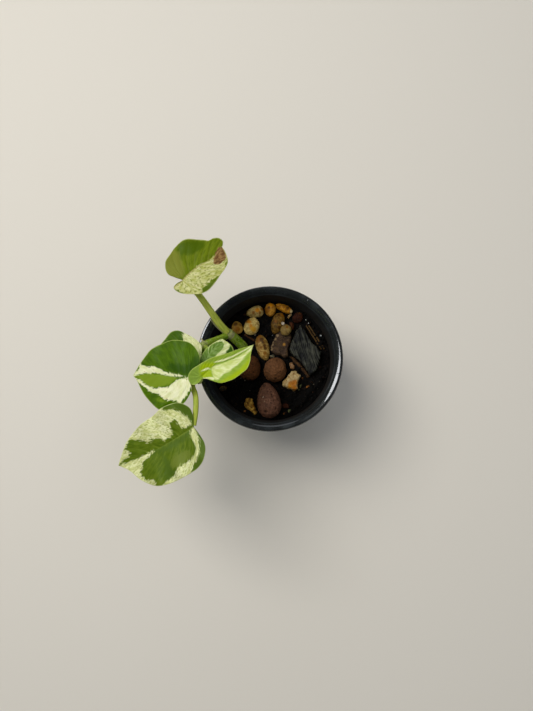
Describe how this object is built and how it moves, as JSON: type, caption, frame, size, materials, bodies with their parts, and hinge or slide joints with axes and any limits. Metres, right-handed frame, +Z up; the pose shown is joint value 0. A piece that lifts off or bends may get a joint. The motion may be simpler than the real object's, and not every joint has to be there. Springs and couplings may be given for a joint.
{
  "type": "potted snow queen pothos",
  "caption": "Young variegated pothos in a small round nursery pot, its shoot leaning over the rim, the mix dressed with clay balls, pebbles and charcoal. A desk or shelf house plant.",
  "frame": {"origin": "centre of the pot's underside", "axes": "+Z up along the pot's axis; +X and +Y lie in the plane of the underside, and the shoot leaves the rim towards -X"},
  "size_m": [0.1369, 0.1449, 0.1268],
  "materials": {
    "pot_plastic": "black injection-moulded polypropylene, satin on the lip, dull inside",
    "potting_mix": "moist dark mix of composted bark and fibre",
    "stem_green": "green waxy stem with pale flecks",
    "leaf_variegated": "waxy leaf, green marbled with cream",
    "pebble": "dull river pebble, tan to cream with iron stains",
    "clay_ball": "fired expanded clay, dull brown with fine pores",
    "charcoal": "horticultural charcoal with wood grain",
    "quartz": "milky quartz with an orange stain",
    "bark": "dark red-brown pine bark",
    "straw": "dry plant fibre"
  },
  "bodies": {
    "root": {"pot": "pot_plastic", "potting_mix": "potting_mix", "vine": "stem_green", "leaf_upper": "leaf_variegated", "leaf_under": "leaf_variegated", "leaf_broad": "leaf_variegated", "leaf_young": "leaf_variegated", "leaf_small": "leaf_variegated", "leaf_lower": "leaf_variegated", "pebble_under_stem": "pebble", "pebble_cream": "pebble", "pebble_grey": "pebble", "pebble_orange": "pebble", "pebble_long": "pebble", "pebble_streaked": "pebble", "pebble_round": "pebble", "pebble_stained": "pebble", "rough_stone": "pebble", "clay_ball_left": "clay_ball", "clay_ball_right": "clay_ball", "clay_ball_large": "clay_ball", "charcoal": "charcoal", "quartz_chip": "quartz", "quartz_grain": "quartz", "perlite_grain": "quartz", "pale_grain": "quartz", "pink_chip": "pebble", "tan_chip": "pebble", "grey_chip": "pebble", "bark_chip_back": "bark", "bark_chip_side": "bark", "bark_chip_front": "bark", "bark_sliver": "bark", "straw_inner": "straw", "straw_outer": "straw", "twig": "bark"}
  },
  "joints": []
}
